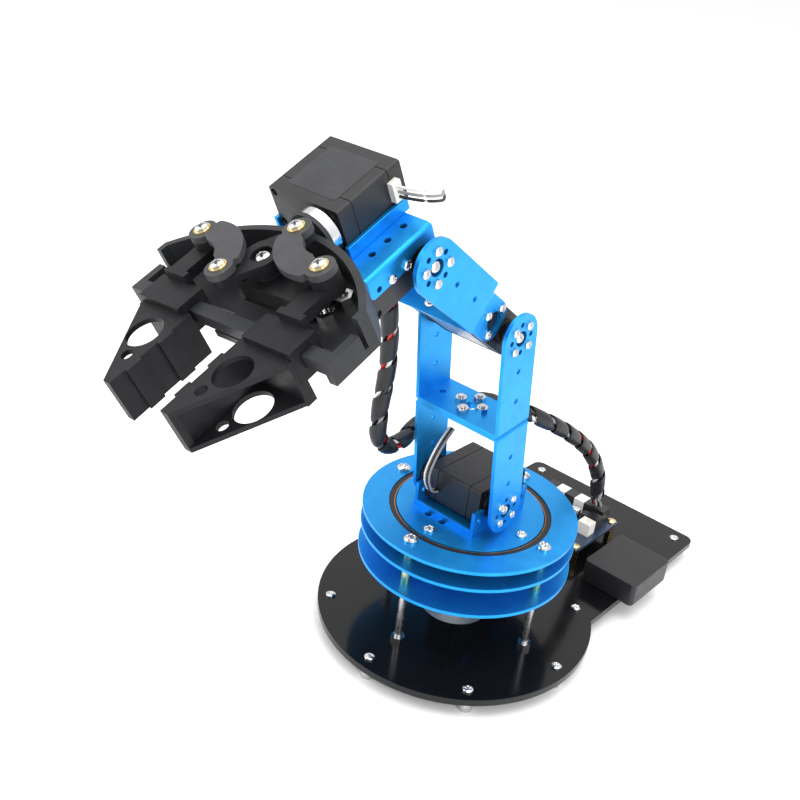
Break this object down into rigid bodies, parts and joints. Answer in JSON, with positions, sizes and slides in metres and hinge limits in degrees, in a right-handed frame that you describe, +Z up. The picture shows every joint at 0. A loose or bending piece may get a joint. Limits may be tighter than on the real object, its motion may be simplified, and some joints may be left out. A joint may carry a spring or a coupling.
{
  "type": "robot arm",
  "caption": "Desktop servo robot arm: round plate on feet, ball-bearing turntable, jointed sheet-metal links and a parallel gripper with toothed jaws driven by a crank and links.",
  "frame": {"origin": "on the turntable's vertical axis, at the height of the floor under the feet", "axes": "+Z up, the arm reaches towards -Y, +X runs along the shafts of the three pitching servos"},
  "size_m": [0.16, 0.3909, 0.2864],
  "materials": {
    "black_acrylic": "polished black acrylic",
    "steel_rod": "bright steel",
    "steel_fastener": "polished stainless steel",
    "brass": "turned brass",
    "blue_aluminium": "blue anodised, fine blasted",
    "bearing_steel": "blackened steel",
    "servo_plastic": "fine-grained black moulding",
    "horn_aluminium": "machined",
    "board": "solder mask over glass laminate",
    "wire": "soft insulation",
    "plug_white": "ivory nylon",
    "loom": "spiral-wrapped black plastic",
    "gripper_plastic": "charcoal moulding with fine grain"
  },
  "bodies": {
    "base": {"base_plate": "black_acrylic", "foot_standoffs": "steel_rod", "foot_screws": "steel_fastener", "tie_rods": "steel_rod", "tie_rod_nuts": "steel_fastener", "rod_spacers": "brass", "lower_disc": "blue_aluminium", "middle_disc": "blue_aluminium", "top_ring": "blue_aluminium", "ring_screws": "steel_fastener", "outer_race": "bearing_steel", "bearing_balls": "steel_fastener", "base_servo_case": "servo_plastic", "controller_board": "board", "board_standoffs": "brass", "board_parts": "servo_plastic", "receiver_case": "servo_plastic", "wire_ribbons": "wire", "loom_base": "loom"},
    "turntable": {"inner_race": "bearing_steel", "turntable_disc": "blue_aluminium", "turntable_screws": "steel_fastener", "base_servo_horn": "horn_aluminium", "drive_hub": "horn_aluminium", "shoulder_bracket": "blue_aluminium", "shoulder_servo_case": "servo_plastic", "shoulder_leads": "wire", "loom_shoulder": "loom"},
    "lower_arm": {"lower_u_bracket": "blue_aluminium", "upper_u_bracket": "blue_aluminium", "web_bolts": "steel_fastener", "web_nuts": "steel_fastener", "shoulder_horns": "horn_aluminium", "shoulder_horn_screws": "steel_fastener", "elbow_horns": "horn_aluminium", "elbow_horn_screws": "steel_fastener", "loom_elbow": "loom"},
    "forearm": {"elbow_servo_case": "servo_plastic", "elbow_bracket": "blue_aluminium", "forearm_screws": "steel_fastener", "forearm_u_bracket": "blue_aluminium", "wrist_horns": "horn_aluminium", "wrist_horn_screws": "steel_fastener", "loom_wrist": "loom"},
    "hand": {"wrist_servo_case": "servo_plastic", "hand_channel": "blue_aluminium", "roll_bracket": "blue_aluminium", "hand_screws": "steel_fastener", "roll_servo_case": "servo_plastic", "servo_plug": "plug_white", "servo_lead": "wire"},
    "gripper": {"roll_horn": "horn_aluminium", "gripper_frame": "gripper_plastic", "gripper_servo_case": "servo_plastic", "gripper_nuts": "steel_fastener"},
    "crank": {"gripper_crank": "gripper_plastic"},
    "right_link": {"right_link": "gripper_plastic"},
    "left_link": {"left_link": "gripper_plastic"},
    "right_finger": {"right_finger": "gripper_plastic"},
    "left_finger": {"left_finger": "gripper_plastic"}
  },
  "joints": [
    {"name": "base_yaw", "type": "hinge", "parent": "base", "child": "turntable", "pos_m": [0, 0, 0.0786], "axis": [0, 0, 1], "range_deg": [-90, 90], "deforming": ["loom_base"]},
    {"name": "shoulder_pitch", "type": "hinge", "parent": "turntable", "child": "lower_arm", "pos_m": [0, -0.0069, 0.0931], "axis": [1, 0, 0], "range_deg": [-70, 70], "deforming": ["loom_shoulder", "shoulder_leads"]},
    {"name": "elbow_pitch", "type": "hinge", "parent": "lower_arm", "child": "forearm", "pos_m": [0, -0.02079, 0.19718], "axis": [-1, 0, 0], "range_deg": [-55, 87], "deforming": ["loom_elbow"]},
    {"name": "wrist_pitch", "type": "hinge", "parent": "forearm", "child": "hand", "pos_m": [0, -0.09261, 0.24803], "axis": [1, 0, 0], "range_deg": [-60, 70], "deforming": ["loom_wrist"]},
    {"name": "wrist_roll", "type": "hinge", "parent": "hand", "child": "gripper", "pos_m": [-0.0075, -0.10405, 0.27048], "axis": [0, -0.891, -0.454], "range_deg": [-90, 90]},
    {"name": "right_finger_slide", "type": "slide", "parent": "gripper", "child": "right_finger", "axis": [0.9903, -0.0632, 0.124], "range_m": [-0.004, 0.005]},
    {"name": "left_finger_slide", "type": "slide", "parent": "gripper", "child": "left_finger", "axis": [-0.9903, 0.0632, -0.124], "range_m": [-0.004, 0.005]},
    {"name": "crank_turn", "type": "hinge", "parent": "gripper", "child": "crank", "pos_m": [-0.0075, -0.15127, 0.24642], "axis": [-0.1392, -0.4496, 0.8823], "range_deg": [-19, 19]},
    {"name": "right_link_pivot", "type": "hinge", "parent": "right_finger", "child": "right_link", "pos_m": [0.02815, -0.15355, 0.25089], "axis": [-0.1392, -0.4496, 0.8823], "range_deg": [-5, 5]},
    {"name": "left_link_pivot", "type": "hinge", "parent": "left_finger", "child": "left_link", "pos_m": [-0.04315, -0.149, 0.24196], "axis": [-0.1392, -0.4496, 0.8823], "range_deg": [-5, 5]}
  ],
  "couplings": [
    {"joint": "left_finger_slide", "follows": "right_finger_slide", "ratio": 1},
    {"joint": "crank_turn", "follows": "right_finger_slide", "rad_per_m": -55},
    {"joint": "right_link_pivot", "follows": "right_finger_slide", "rad_per_m": 13},
    {"joint": "left_link_pivot", "follows": "right_finger_slide", "rad_per_m": 13}
  ]
}
